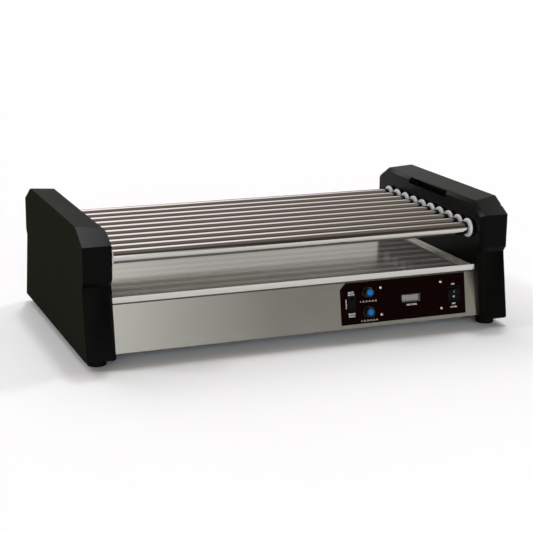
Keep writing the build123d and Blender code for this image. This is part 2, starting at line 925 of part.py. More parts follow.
def heat_control():
    """Rotary control with the bushing that holds it to the panel, about its own axis."""
    bore = knob_stem_diameter / 2 + knob_stem_clearance
    bore_end = -knob_stem_reach - knob_stem_end_gap
    return turned_out(
        [
            (0, -sheet - control_depth),
            (control_diameter / 2, -sheet - control_depth),
            (control_diameter / 2, -sheet),
            (bushing_diameter / 2, -sheet),
            (bushing_diameter / 2, plate_thickness + bushing_past_plate),
            (bore, plate_thickness + bushing_past_plate),
            (bore, bore_end),
            (0, bore_end),
        ]
    )


def heat_knob():
    """Round knob with a collar, a stem into its control and a seat for its cap."""
    low = plate_thickness + knob_clearance
    high = low + knob_height
    collar = knob_collar_diameter / 2
    rim = knob_diameter / 2
    hollow = knob_hollow_diameter / 2
    stem = knob_stem_diameter / 2
    cap_seat = cap_diameter / 2 + cap_clearance
    knob = turned_out(
        [
            (0, -knob_stem_reach),
            (stem, -knob_stem_reach),
            (stem, low + knob_hollow_depth),
            (hollow, low + knob_hollow_depth),
            (hollow, low),
            (collar, low),
            (collar, low + knob_collar_height),
            (rim, low + knob_collar_height),
            (rim, high - knob_edge),
            (rim - knob_edge, high),
            (cap_seat, high),
            (cap_seat, high + cap_proud - cap_thickness),
            (0, high + cap_proud - cap_thickness),
        ]
    )
    mark = block(
        (-knob_mark_width / 2, cap_seat, high - knob_mark_depth),
        (knob_mark_width / 2, rim + overrun, high + overrun),
    )
    return knob - mark


def knob_cap():
    """Coloured cap pressed into a knob."""
    high = plate_thickness + knob_clearance + knob_height + cap_proud
    radius = cap_diameter / 2
    return turned_out(
        [
            (0, high - cap_thickness),
            (radius, high - cap_thickness),
            (radius, high - cap_edge),
            (radius - cap_edge, high),
            (0, high),
        ]
    )


def switch_body(power):
    """Switch body with its bezel on the plate and pin holes for the rocker."""
    x, width, _ = switch_sizes(power)
    opening = switch_opening(power)
    barrel_size = switch_barrel(power)
    front = plate_thickness + switch_bezel
    bezel_size = [size + 2 * switch_bezel_rim for size in opening]
    bezel = extrude(Plane.XY.offset(plate_thickness) * Rectangle(*bezel_size), switch_bezel)
    barrel = extrude(Plane.XY.offset(-switch_depth) * Rectangle(*barrel_size), switch_depth + plate_thickness)
    pocket = extrude(
        Plane.XY.offset(-switch_opening_depth) * Rectangle(*opening),
        switch_opening_depth + front + overrun,
    )
    pin_half = width / 2 + rocker_gap + rocker_pin_reach + rocker_pin_clearance
    pin = Circle(rocker_pin_diameter / 2 + rocker_pin_clearance)
    pin_hole = along_x(pin, -pin_half, pin_half, 0, rocker_pivot_z)
    body = bezel + barrel - pocket - pin_hole
    return panel_plane * Pos(x, plate_middle) * body


def switch_rocker(power):
    """Rocker with its lower end pressed in, on the two pins that it turns on."""
    x, width, height = switch_sizes(power)
    outline = Polyline(
        (-height / 2, rocker_end_rise),
        (0, rocker_middle_rise),
        (height / 2, rocker_end_rise),
        (height / 2, rocker_end_drop),
        (0, -rocker_middle_drop),
        (-height / 2, rocker_end_drop),
        close=True,
    )
    paddle = along_x(make_face(outline), -width / 2, width / 2)
    pin_half = width / 2 + rocker_gap + rocker_pin_reach
    pins = along_x(Circle(rocker_pin_diameter / 2), -pin_half, pin_half)
    rocker = Rot(rocker_tilt, 0, 0) * (paddle + pins)
    return panel_plane * Pos(x, plate_middle, rocker_pivot_z) * rocker


def pieces():
    """Every piece of the machine by name."""
    shell = end_shell()
    cover = end_cover()
    plate = side_plate()
    bush_row = bushes()
    seal_row = bush_seals()
    motor = (row_centre_y, motor_z)
    made = {
        "left_end_shell": on_left(shell),
        "right_end_shell": shell - shaft_hole(inner_x - overrun, side_plate_x + overrun),
        "left_end_cover": on_left(cover),
        "right_end_cover": cover,
        "left_side_plate": on_left(plate),
        "right_side_plate": plate - shaft_hole(inner_x, side_plate_outer_x + overrun),
        "left_bushes": on_left(bush_row),
        "right_bushes": bush_row,
        "left_bush_seals": on_left(seal_row),
        "right_bush_seals": seal_row,
        "feet": feet(),
        "heating_rods": heating_rods(),
        "left_rod_bar": on_left(rod_bar(left_bar_x)),
        "right_rod_bar": rod_bar(right_bar_x),
        "drive_chain": drive_chain(),
        "gear_motor": gear_motor(),
        "motor_shaft": motor_shaft(),
        "motor_sprocket": sprocket(motor),
        "front_panel": front_panel(),
        "rear_panel": rear_panel(),
        "cord_gland": cord_gland(),
        "base_pan": base_pan(),
        "deck": deck(),
        "drip_tray": drip_tray(),
        "control_plate": control_plate(),
        "control_screws": control_screws(),
        "control_board": control_board(),
        "display_module": display_module(),
        "display_window": display_window(),
        "zone_switch": switch_body(False),
        "zone_rocker": switch_rocker(False),
        "power_switch": switch_body(True),
        "power_rocker": switch_rocker(True),
    }
    tube = roller()
    for index, (y, z) in enumerate(roller_places(), start=1):
        made[f"roller_{index:02d}"] = Pos(0, y, z) * tube
        made[f"sprocket_{index:02d}"] = sprocket((y, z))
    for name, (x, rise) in zip(("upper", "lower"), knob_places()):
        place = panel_plane * Pos(x, rise)
        made[f"{name}_heat_control"] = place * heat_control()
        made[f"{name}_heat_knob"] = place * heat_knob()
        made[f"{name}_knob_cap"] = place * knob_cap()
    return made


os.makedirs("parts", exist_ok=True)
for node, shape in pieces().items():
    export_step(shape, f"parts/{node}.step")
print("front panel leans back by", round(degrees(panel_slope), 2), "degrees; motor axis at", round(motor_z, 2))
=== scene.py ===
"""Looks of the roller grill: finishes, rounded and printed pieces, studio and camera."""

import json
import logging
import math
from collections.abc import Callable
from dataclasses import dataclass
from enum import Enum

import bmesh
import bpy
from mathutils import Euler, Matrix, Vector


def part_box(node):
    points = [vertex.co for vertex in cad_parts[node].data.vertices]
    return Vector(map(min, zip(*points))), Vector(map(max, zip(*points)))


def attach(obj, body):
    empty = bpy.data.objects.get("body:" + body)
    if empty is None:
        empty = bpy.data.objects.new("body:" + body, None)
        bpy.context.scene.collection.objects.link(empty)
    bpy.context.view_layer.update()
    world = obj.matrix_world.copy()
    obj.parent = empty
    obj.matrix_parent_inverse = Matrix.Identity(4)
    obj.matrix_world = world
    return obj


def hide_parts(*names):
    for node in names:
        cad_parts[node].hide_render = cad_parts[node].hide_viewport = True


log = logging.getLogger("roller_grill")
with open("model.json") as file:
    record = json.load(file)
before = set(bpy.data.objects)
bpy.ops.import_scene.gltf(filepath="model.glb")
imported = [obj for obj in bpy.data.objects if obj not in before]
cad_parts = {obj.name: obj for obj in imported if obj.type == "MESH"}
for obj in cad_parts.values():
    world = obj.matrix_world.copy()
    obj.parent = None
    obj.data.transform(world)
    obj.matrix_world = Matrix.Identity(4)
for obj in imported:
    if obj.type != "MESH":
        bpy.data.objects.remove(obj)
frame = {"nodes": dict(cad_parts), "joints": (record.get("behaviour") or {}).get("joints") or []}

Colour = tuple[float, float, float]
Point = tuple[float, float, float]
Profile = list[tuple[float, float]]
Element = bmesh.types.BMVert | bmesh.types.BMEdge | bmesh.types.BMFace
MM = 0.001
MERGE = 0.002 * MM
FOLD_REACH = 0.05 * MM
PLAIN: Point = (1.0, 1.0, 1.0)
INK_SPREAD = 0.09 * MM
INK_HEIGHT = 0.03 * MM
TYPE_STEPS = 3
PATTERN_LOW = 0.3
PATTERN_HIGH = 0.7
FINE_DETAIL = 3.0
STREAK_DETAIL = 6.0
SMEAR_STRETCH: Point = (1.0, 3.0, 3.0)
FLAT_ANGLE = 0.5
SHARP_ANGLE = 30.0
RIGHT_ANGLE = 90.0
QUAD_CORNERS = 4
ROOT_BODY = "machine"


class Side(Enum):
    """End of the machine, with its sign along X."""

    LEFT = -1
    RIGHT = 1

    @property
    def word(self) -> str:
        """Name of the end in node names."""
        return self.name.lower()


class Grain(Enum):
    """Way that a brushed grain runs, as the stretch of its pattern along X, Y and Z."""

    ALONG_X = (5.0, 900.0, 900.0)
    SATIN = (260.0, 900.0, 900.0)


# Finishes


class Shader:
    """Node tree of one material round a Principled shader."""

    def __init__(self, name: str) -> None:
        """Start a material.

        Args:
            name: Name of the material.
        """
        self.material = bpy.data.materials.new(name)
        self.material.use_nodes = True
        self.tree = self.material.node_tree
        self.principled = self.tree.nodes["Principled BSDF"]

    def node(self, kind: str) -> bpy.types.Node:
        """Add a node, given its type without the ShaderNode prefix."""
        return self.tree.nodes.new("ShaderNode" + kind)

    def link(self, output: bpy.types.NodeSocket, target: bpy.types.NodeSocket) -> None:
        """Join two sockets."""
        self.tree.links.new(output, target)

    def drive(self, output: bpy.types.NodeSocket, socket: str) -> None:
        """Join a socket to a named input of the Principled shader."""
        self.link(output, self.principled.inputs[socket])

    def set(self, **values: object) -> None:
        """Set inputs of the Principled shader by name, with underscores for spaces."""
        for key, value in values.items():
            self.principled.inputs[key.replace("_", " ")].default_value = value

    def noise(self, scale: float, stretch: Point = PLAIN, detail: float = 4.0) -> bpy.types.NodeSocket:
        """Add a noise pattern on Object coordinates.

        Args:
            scale: Scale of the noise.
            stretch: Scale of the coordinates along X, Y and Z.
            detail: Octaves of the noise.

        Returns:
            Socket with the noise's value.
        """
        coordinates = self.node("TexCoord")
        mapping = self.node("Mapping")
        mapping.inputs["Scale"].default_value = stretch
        pattern = self.node("TexNoise")
        pattern.inputs["Scale"].default_value = scale
        pattern.inputs["Detail"].default_value = detail
        self.link(coordinates.outputs["Object"], mapping.inputs["Vector"])
        self.link(mapping.outputs["Vector"], pattern.inputs["Vector"])
        return pattern.outputs["Fac"]

    def ramp(self, value: bpy.types.NodeSocket, low: Colour, high: Colour) -> bpy.types.NodeSocket:
        """Turn a noise value into a colour between two colours.

        Args:
            value: Socket to read.
            low: Colour of the pattern's lower part.
            high: Colour of its upper part.

        Returns:
            Socket with the colour.
        """
        ramp = self.node("ValToRGB")
        ends = ((PATTERN_LOW, low), (PATTERN_HIGH, high))
        for stop, (where, colour) in zip(ramp.color_ramp.elements, ends):
            stop.position = where
            stop.color = (*colour, 1.0)
        self.link(value, ramp.inputs["Fac"])
        return ramp.outputs["Color"]

    def spread(self, value: bpy.types.NodeSocket, low: float, high: float) -> bpy.types.NodeSocket:
        """Turn a noise value into a range.

        Args:
            value: Socket to read.
            low: Result in the pattern's lower part.
            high: Result in its upper part.

        Returns:
            Socket with the result.
        """
        remap = self.node("MapRange")
        names = ("From Min", "From Max", "To Min", "To Max")
        for name, number in zip(names, (PATTERN_LOW, PATTERN_HIGH, low, high)):
            remap.inputs[name].default_value = number
        self.link(value, remap.inputs["Value"])
        return remap.outputs["Result"]

    def bump(self, value: bpy.types.NodeSocket, strength: float, height: float) -> None:
        """Raise the surface by a pattern.

        Args:
            value: Socket to read.
            strength: Strength of the relief.
            height: Height of the relief.
        """
        bump = self.node("Bump")
        bump.inputs["Strength"].default_value = strength
        bump.inputs["Distance"].default_value = height
        self.link(value, bump.inputs["Height"])
        self.drive(bump.outputs["Normal"], "Normal")


@dataclass(frozen=True)
class MouldedPlastic:
    """Moulded plastic or rubber with a fine grain and faint patches in its gloss."""

    name: str
    colour: Colour
    light: Colour
    roughness: tuple[float, float] = (0.5, 0.62)
    specular: float = 0.2
    grain: float = 900.0
    relief: float = 0.25
    height: float = 0.15 * MM
    patches: float = 9.0

    def material(self) -> bpy.types.Material:
        """Build the node material.

        Returns:
            The material.
        """
        shader = Shader(self.name)
        grain = shader.noise(self.grain, detail=FINE_DETAIL)
        shader.drive(shader.ramp(grain, self.colour, self.light), "Base Color")
        shader.drive(shader.spread(shader.noise(self.patches), *self.roughness), "Roughness")
        shader.bump(grain, self.relief, self.height)
        shader.set(Specular_IOR_Level=self.specular)
        return shader.material


@dataclass(frozen=True)
class BrushedMetal:
    """Metal brushed one way, with streaks in its colour and relief and clouds in its gloss."""

    name: str
    colour: Colour
    light: Colour
    roughness: tuple[float, float] = (0.3, 0.4)
    grain: Grain = Grain.ALONG_X
    relief: float = 0.2
    height: float = 0.02 * MM
    clouds: float = 5.0
    metallic: float = 1.0

    def material(self) -> bpy.types.Material:
        """Build the node material.

        Returns:
            The material.
        """
        shader = Shader(self.name)
        streaks = shader.noise(1.0, self.grain.value, STREAK_DETAIL)
        shader.drive(shader.ramp(streaks, self.colour, self.light), "Base Color")
        shader.drive(shader.spread(shader.noise(self.clouds), *self.roughness), "Roughness")
        shader.bump(streaks, self.relief, self.height)
        shader.set(Metallic=self.metallic)
        return shader.material


@dataclass(frozen=True)
class PolishedMetal:
    """Polished or oiled metal with faint wiped marks."""

    name: str
    colour: Colour
    light: Colour
    roughness: tuple[float, float] = (0.06, 0.13)
    smears: float = 14.0
    edge: Colour = PLAIN

    def material(self) -> bpy.types.Material:
        """Build the node material.

        Returns:
            The material.
        """
        shader = Shader(self.name)
        wiped = shader.noise(1.0, Grain.ALONG_X.value, FINE_DETAIL)
        smears = shader.noise(self.smears, SMEAR_STRETCH)
        shader.drive(shader.ramp(wiped, self.colour, self.light), "Base Color")
        shader.drive(shader.spread(smears, *self.roughness), "Roughness")
        shader.set(Metallic=1.0, Specular_Tint=(*self.edge, 1.0))
        return shader.material


@dataclass(frozen=True)
class SmoothPlastic:
    """Smooth plastic, printed film or ink with a slight unevenness in its gloss."""

    name: str
    colour: Colour
    light: Colour
    roughness: tuple[float, float] = (0.3, 0.42)
    specular: float = 0.3
    alpha: float = 1.0
    clouds: float = 60.0

    def material(self) -> bpy.types.Material:
        """Build the node material.

        Returns:
            The material.
        """
        shader = Shader(self.name)
        clouds = shader.noise(self.clouds)
        shader.drive(shader.ramp(clouds, self.colour, self.light), "Base Color")
        shader.drive(shader.spread(clouds, *self.roughness), "Roughness")
        shader.set(Specular_IOR_Level=self.specular, Alpha=self.alpha)
        return shader.material


Finish = MouldedPlastic | BrushedMetal | PolishedMetal | SmoothPlastic

HOUSING = MouldedPlastic(
    "housing_plastic",
    (0.001, 0.0012, 0.0009),
    (0.003, 0.0033, 0.0027),
    roughness=(0.21, 0.26),
    specular=0.042,
    relief=0.12,
)
COVER = MouldedPlastic(
    "cover_plastic", (0.0135, 0.0137, 0.0102), (0.0205, 0.0208, 0.0158), roughness=(0.7, 0.8), specular=0.0
)
STAINLESS = BrushedMetal(
    "panel_stainless",
    (0.325, 0.318, 0.278),
    (0.355, 0.348, 0.306),
    roughness=(0.2, 0.24),
    grain=Grain.SATIN,
    relief=0.1,
)
TRAY_STEEL = BrushedMetal(
    "tray_stainless", (0.55, 0.544, 0.503), (0.62, 0.613, 0.57), roughness=(0.12, 0.16), metallic=0.62
)
CHROME = PolishedMetal(
    "roller_chrome", (0.52, 0.497, 0.465), (0.6, 0.58, 0.557), roughness=(0.03, 0.05), edge=(0.3, 0.28, 0.27)
)
BUSH_WHITE = SmoothPlastic("bush_plastic", (0.66, 0.68, 0.72), (0.72, 0.74, 0.78), roughness=(0.4, 0.5))
PLATE_FILM = SmoothPlastic("plate_film", (0.0042, 0.0007, 0.0006), (0.0066, 0.0012, 0.001), specular=0.015)
SCREW_STEEL = PolishedMetal("screw_steel", (0.54, 0.46, 0.4), (0.66, 0.58, 0.52), roughness=(0.1, 0.18))
KNOB_PLASTIC = MouldedPlastic(
    "knob_plastic",
    (0.002, 0.0022, 0.0024),
    (0.005, 0.0052, 0.0054),
    roughness=(0.24, 0.3),
    specular=0.45,
    grain=2600.0,
    relief=0.1,
)
CAP_BLUE = SmoothPlastic("cap_plastic", (0.002, 0.17, 0.56), (0.003, 0.2, 0.62), specular=0.06)
SWITCH_PLASTIC = SmoothPlastic(
    "switch_plastic", (0.0012, 0.0012, 0.0014), (0.003, 0.003, 0.0033), specular=0.09
)
WINDOW = SmoothPlastic(
    "window_clear", (0.5, 0.5, 0.48), (0.56, 0.56, 0.54), roughness=(0.08, 0.14), alpha=0.06
)
DISPLAY_FACE = SmoothPlastic("display_face", (0.15, 0.15, 0.141), (0.19, 0.19, 0.18))
DIGIT = SmoothPlastic("digit_segments", (0.66, 0.66, 0.65), (0.76, 0.76, 0.75))
INK = SmoothPlastic("legend_ink", (0.8, 0.78, 0.76), (0.9, 0.88, 0.86))
BOARD = SmoothPlastic("circuit_board", (0.01, 0.1, 0.04), (0.02, 0.14, 0.06))
ZINC = BrushedMetal("zinc_plate", (0.42, 0.43, 0.44), (0.55, 0.56, 0.57), roughness=(0.35, 0.5))
CHAIN_STEEL = PolishedMetal("chain_steel", (0.2, 0.19, 0.18), (0.34, 0.33, 0.31), roughness=(0.25, 0.45))
ROD_STEEL = PolishedMetal("rod_steel", (0.28, 0.25, 0.22), (0.42, 0.39, 0.35), roughness=(0.3, 0.5))
MOTOR_PAINT = MouldedPlastic("motor_paint", (0.14, 0.145, 0.15), (0.2, 0.205, 0.21))
RUBBER = MouldedPlastic(
    "black_rubber", (0.003, 0.003, 0.003), (0.007, 0.007, 0.007), roughness=(0.55, 0.68), specular=0.06
)


class Materials:
    """Store of the materials that are already built."""

    def __init__(self) -> None:
        """Start empty."""
        self.built: dict[str, bpy.types.Material] = {}

    def of(self, finish: Finish) -> bpy.types.Material:
        """Build a finish's material once.

        Args:
            finish: The finish.

        Returns:
            Its material.
        """
        if finish.name not in self.built:
            self.built[finish.name] = finish.material()
        return self.built[finish.name]

    def dress(self, finish: Finish, *nodes: str) -> None:
        """Give CAD nodes a finish.

        Args:
            finish: The finish.
            nodes: Names of the nodes.
        """
        for node in nodes:
            mesh = frame["nodes"][node].data
            mesh.materials.clear()
            mesh.materials.append(self.of(finish))
            log.info("node %s in %s", node, finish.name)


MATERIALS = Materials()

# Modelling


def deselect() -> None:
    """Leave edit mode and clear the selection."""
    if bpy.context.mode != "OBJECT":
        bpy.ops.object.mode_set(mode="OBJECT")
    bpy.ops.object.select_all(action="DESELECT")


def activate(piece: bpy.types.Object) -> None:
    """Make one object the only selected and active one.

    Args:
        piece: The object.
    """
    deselect()
    piece.select_set(True)
    bpy.context.view_layer.objects.active = piece


def edit(piece: bpy.types.Object) -> None:
    """Open a piece in edit mode."""
    activate(piece)
    bpy.ops.object.mode_set(mode="EDIT")


def select(kind: str, test: Callable[[Element], bool]) -> None:
    """Select, in edit mode, the elements that pass a test.

    Args:
        kind: VERT, EDGE or FACE.
        test: Function of one element.
    """
    data = bpy.context.edit_object.data
    bpy.ops.mesh.select_mode(type=kind)
    bpy.ops.mesh.select_all(action="DESELECT")
    mesh = bmesh.from_edit_mesh(data)
    for element in {"VERT": mesh.verts, "EDGE": mesh.edges, "FACE": mesh.faces}[kind]:
        element.select = test(element)
    mesh.select_flush_mode()
    bmesh.update_edit_mesh(data)


def select_level(height: float) -> None:
    """Select the flat faces that lie at a height."""
    select("FACE", lambda face: all(abs(vert.co.z - height) < MERGE for vert in face.verts))


def start_cylinder(name: str, radius: float, low: float, high: float, sides: int) -> bpy.types.Object:
    """Add a cylinder along Z and open it in edit mode.

    Args:
        name: Name of the piece.
        radius: Its radius.
        low: Height of its lower end.
        high: Height of its upper end.
        sides: Number of sides.

    Returns:
        The new object, in edit mode.
    """
    deselect()
    middle = (0, 0, (low + high) / 2)
    bpy.ops.mesh.primitive_cylinder_add(vertices=sides, radius=radius, depth=high - low, location=middle)
    piece = bpy.context.object
    piece.name = name
    bpy.ops.object.transform_apply(location=True, rotation=True, scale=True)
    bpy.ops.object.mode_set(mode="EDIT")
    return piece


def step(ratio: float, rise: float) -> None:
    """Extrude the selected end face along Z and scale it about the Z axis.

    Args:
        ratio: New radius over the old one.
        rise: How far the face moves.
    """
    bpy.ops.mesh.extrude_region_move(TRANSFORM_OT_translate={"value": (0, 0, rise)})
    bpy.ops.transform.resize(value=(ratio, ratio, 1), center_override=(0, 0, 0))


def turn_profile(name: str, profile: Profile, sides: int) -> bpy.types.Object:
    """Model a round piece along Z by stepping a cylinder's end through a profile.

    Args:
        name: Name of the piece.
        profile: Radius and height of each step, from the lower end to the last face.
        sides: Number of sides.

    Returns:
        The piece, in object mode.
    """
    (radius, low), (first, high) = profile[:2]
    piece = start_cylinder(name, radius, low, high, sides)
    select_level(high)
    bpy.ops.transform.resize(value=(first / radius, first / radius, 1), center_override=(0, 0, 0))
    for (before, from_z), (after, to_z) in zip(profile[1:], profile[2:]):
        step(after / before, to_z - from_z)
    bpy.ops.object.mode_set(mode="OBJECT")
    return piece


def smooth(piece: bpy.types.Object, angle: float = SHARP_ANGLE) -> None:
    """Shade a piece smooth, except at edges sharper than an angle in degrees."""
    activate(piece)
    bpy.ops.object.shade_smooth_by_angle(angle=math.radians(angle))


def soften(piece: bpy.types.Object, width: float, segments: int = 2, angle: float = SHARP_ANGLE) -> None:
    """Round the sharp edges with an applied bevel that keeps the flats flat.

    Args:
        piece: The piece.
        width: Width of the bevel.
        segments: Segments of the bevel.
        angle: Edges sharper than this are rounded, in degrees.
    """
    smooth(piece, angle)
    bevel = piece.modifiers.new("edges", "BEVEL")
    bevel.width = width
    bevel.segments = segments
    bevel.limit_method = "ANGLE"
    bevel.angle_limit = math.radians(angle)
    bevel.harden_normals = True
    bpy.ops.object.modifier_apply(modifier=bevel.name)


def round_edge(y: float, z: float, width: float, segments: int = 3) -> None:
    """Round, in edit mode, the edges along X at one place in Y and Z.

    Args:
        y: Their place in Y.
        z: Their place in Z.
        width: Width of the rounding.
        segments: Segments of the rounding.
    """
    spot = Vector((y, z))
    select("EDGE", lambda edge: all((vert.co.yz - spot).length < FOLD_REACH for vert in edge.verts))
    bpy.ops.mesh.bevel(offset=width, segments=segments, affect="EDGES")


def cad_copy(node: str, name: str) -> bpy.types.Object:
    """Copy a CAD node with its triangles merged into plain faces.

    Args:
        node: Name of the node.
        name: Name of the copy.

    Returns:
        The copy, in object mode.
    """
    piece = bpy.data.objects.new(name, frame["nodes"][node].data.copy())
    bpy.context.scene.collection.objects.link(piece)
    edit(piece)
    bpy.ops.mesh.select_all(action="SELECT")
    bpy.ops.mesh.remove_doubles(threshold=MERGE)
    bpy.ops.mesh.dissolve_limited(angle_limit=math.radians(FLAT_ANGLE))
    bpy.ops.object.mode_set(mode="OBJECT")
    return piece


def place(piece: bpy.types.Object, matrix: Matrix) -> None:
    """Move a piece into the machine and apply the move to its mesh.

    Args:
        piece: The piece.
        matrix: Where it goes.
    """
    activate(piece)
    piece.matrix_world = matrix
    bpy.ops.object.transform_apply(location=True, rotation=True, scale=True)


def copy_to(piece: bpy.types.Object, name: str, matrix: Matrix) -> bpy.types.Object:
    """Copy a piece with its own mesh and place the copy.

    Args:
        piece: The piece to copy.
        name: Name of the copy.
        matrix: Where the copy goes.

    Returns:
        The copy.
    """
    made = bpy.data.objects.new(name, piece.data.copy())
    bpy.context.scene.collection.objects.link(made)
    place(made, matrix)
    return made


def join(pieces: list[bpy.types.Object], name: str) -> bpy.types.Object:
    """Join pieces into one object.

    Args:
        pieces: The pieces.
        name: Name of the result.

    Returns:
        The joined object.
    """
    activate(pieces[0])
    for piece in pieces:
        piece.select_set(True)
    bpy.ops.object.join()
    pieces[0].name = name
    return pieces[0]


def discard(*patterns: bpy.types.Object) -> None:
    """Remove pattern pieces once their copies are made."""
    for pattern in patterns:
        bpy.data.objects.remove(pattern)


def fit(piece: bpy.types.Object, finish: Finish, slot: str, body: str = ROOT_BODY, *nodes: str) -> None:
    """Give a piece its finish and its place in the machine.

    Args:
        piece: The finished piece.
        finish: Its finish.
        slot: Material slot of the record; not used.
        body: Body that it moves with.
        nodes: CAD nodes that it stands for.
    """
    piece.data.materials.clear()
    piece.data.materials.append(MATERIALS.of(finish))
    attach(piece, body)
    if nodes:
        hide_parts(*nodes)
    log.info("piece %s on %s", piece.name, body)


def along_x(spot: Point, way: int = 1) -> Matrix:
    """Place that turns a piece's Z axis along X.

    Args:
        spot: Where the piece's origin goes.
        way: 1 towards +X, -1 towards -X.

    Returns:
        The matrix of the place.
    """
    return Matrix.Translation(spot) @ Matrix.Rotation(math.radians(RIGHT_ANGLE * way), 4, "Y")


def printed(name: str, words: str, size: float, spot: Matrix) -> bpy.types.Object:
    """Set words as a thin mesh.

    Args:
        name: Name of the piece.
        words: The words, one line or more.
        size: Height of the type.
        spot: Where the middle of the words goes.

    Returns:
        The printed words.
    """
    deselect()
    bpy.ops.object.text_add()
    text = bpy.context.object
    text.data.body = words
    text.data.size = size
    text.data.offset = INK_SPREAD
    text.data.extrude = INK_HEIGHT
    text.data.align_x = "CENTER"
    text.data.align_y = "CENTER"
    text.data.resolution_u = TYPE_STEPS
    bpy.ops.object.convert(target="MESH")
    piece = bpy.context.object
    piece.name = name
    place(piece, spot)
    return piece


def joint(name: str) -> dict:
    """Look up a joint of the frame by name."""
    return next(entry for entry in frame["joints"] if entry["name"] == name)


# The machine


@dataclass
class EndHousing:
    """Moulded shell and flat cover of one end, with the steel inside."""

    side: Side
    shell_edge: float = 0.9 * MM
    cover_edge: float = 0.4 * MM

    def build(self) -> None:
        """Round the shell and the cover and dress what is inside."""
        word = self.side.word
        shell = cad_copy(f"{word}_end_shell", f"{word}_housing")
        soften(shell, self.shell_edge)
        fit(shell, HOUSING, "housing_black", ROOT_BODY, f"{word}_end_shell")
        cover = cad_copy(f"{word}_end_cover", f"{word}_cover")
        soften(cover, self.cover_edge)
        fit(cover, COVER, "cover_black", ROOT_BODY, f"{word}_end_cover")
        MATERIALS.dress(ZINC, f"{word}_side_plate", f"{word}_rod_bar")


@dataclass
class RollerBed:
    """Rollers, the white bushes round their ends and the bushes' seals."""

    count: int = 10
    wall: float = 1.2 * MM
    mouth_depth: float = 6.0 * MM
    stub_radius: float = 8.5 * MM
    stub_bore_radius: float = 6.0 * MM
    rim_edge: float = 0.3 * MM
    roller_sides: int = 80
    bush_flange: float = 4.5 * MM
    bush_clearance: float = 0.08 * MM
    bush_neck_wall: float = 1.4 * MM
    bush_round: float = 1.5 * MM
    bush_round_segments: int = 4
    bush_sides: int = 56
    bush_smooth_angle: float = 40.0

    def axis(self, number: int) -> Vector:
        """Middle of a roller's axis."""
        return Vector(joint(f"roller_{number:02d}_spin")["pos_m"])

    def radius(self) -> float:
        """Outer radius of a roller."""
        low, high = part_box("roller_01")
        return (high.z - low.z) / 2

    def roller_pattern(self) -> bpy.types.Object:
        """Model one roller about the Z axis: tube, open left mouth and drive stub.

        Returns:
            The pattern roller.
        """
        low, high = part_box("roller_01")
        radius = self.radius()
        start, end, stub_end = low.x, -low.x, high.x
        profile = [
            (radius, start),
            (radius, end),
            (self.stub_radius, end),
            (self.stub_radius, stub_end),
            (self.stub_bore_radius, stub_end),
            (self.stub_bore_radius, end - self.mouth_depth),
        ]
        piece = turn_profile("roller_pattern", profile, self.roller_sides)
        edit(piece)
        select_level(start)
        step((radius - self.wall) / radius, 0)
        step(1, self.mouth_depth)
        bpy.ops.object.mode_set(mode="OBJECT")
        soften(piece, self.rim_edge)
        return piece

    def build_rollers(self) -> None:
        """Copy the roller to each axis."""
        pattern = self.roller_pattern()
        for number in range(1, self.count + 1):
            spot = self.axis(number)
            piece = copy_to(pattern, f"roller_tube_{number:02d}", along_x((0, spot.y, spot.z)))
            fit(piece, CHROME, "roller_chrome", f"roller_set_{number:02d}", f"roller_{number:02d}")
            MATERIALS.dress(CHAIN_STEEL, f"sprocket_{number:02d}")
        discard(pattern)

    def bush_pattern(self, radius: float, reach: float) -> bpy.types.Object:
        """Model one flanged bush about the Z axis, its flange at the lower end.

        Args:
            radius: Radius of the flange.
            reach: Length over flange and neck.

        Returns:
            The pattern bush.
        """
        bore = self.radius() + self.bush_clearance
        neck = bore + self.bush_neck_wall
        profile = [
            (radius, 0),
            (radius, self.bush_flange),
            (neck, self.bush_flange),
            (neck, reach),
            (bore, reach),
        ]
        piece = turn_profile("bush_pattern", profile, self.bush_sides)
        edit(piece)
        select_level(0)
        step(bore / radius, 0)
        select("FACE", lambda face: len(face.verts) > QUAD_CORNERS)
        bpy.ops.mesh.delete(type="ONLY_FACE")
        select("EDGE", lambda edge: edge.is_boundary)
        bpy.ops.mesh.bridge_edge_loops()
        bpy.ops.mesh.select_all(action="SELECT")
        bpy.ops.mesh.normals_make_consistent(inside=False)
        select("EDGE", lambda edge: self.is_rim(edge, radius))
        bpy.ops.mesh.bevel(offset=self.bush_round, segments=self.bush_round_segments, affect="EDGES")
        bpy.ops.object.mode_set(mode="OBJECT")
        smooth(piece, self.bush_smooth_angle)
        return piece

    def is_rim(self, edge: bmesh.types.BMEdge, radius: float) -> bool:
        """Tell whether an edge runs round the flange.

        Args:
            edge: The edge.
            radius: Radius of the flange.

        Returns:
            True for an edge of the rim.
        """
        one, other = (vert.co for vert in edge.verts)
        level = abs(one.z - other.z) < MERGE
        return level and all(abs(end.xy.length - radius) < MERGE for end in (one, other))

    def build_bushes(self, side: Side) -> None:
        """Copy the bush to every roller end of one side.

        Args:
            side: The end of the machine.
        """
        node = f"{side.word}_bushes"
        low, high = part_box(node)
        face_x = low.x if side is Side.RIGHT else high.x
        pattern = self.bush_pattern((high.z - low.z) / 2, high.x - low.x)
        pieces = []
        for number in range(1, self.count + 1):
            spot = self.axis(number)
            pieces.append(copy_to(pattern, "bush", along_x((face_x, spot.y, spot.z), side.value)))
        discard(pattern)
        fit(join(pieces, f"{side.word}_white_bushes"), BUSH_WHITE, "bush_white", ROOT_BODY, node)

    def build(self) -> None:
        """Build the rollers and both rows of bushes."""
        self.build_rollers()
        for side in Side:
            self.build_bushes(side)
            MATERIALS.dress(RUBBER, f"{side.word}_bush_seals")
        MATERIALS.dress(ROD_STEEL, "heating_rods")


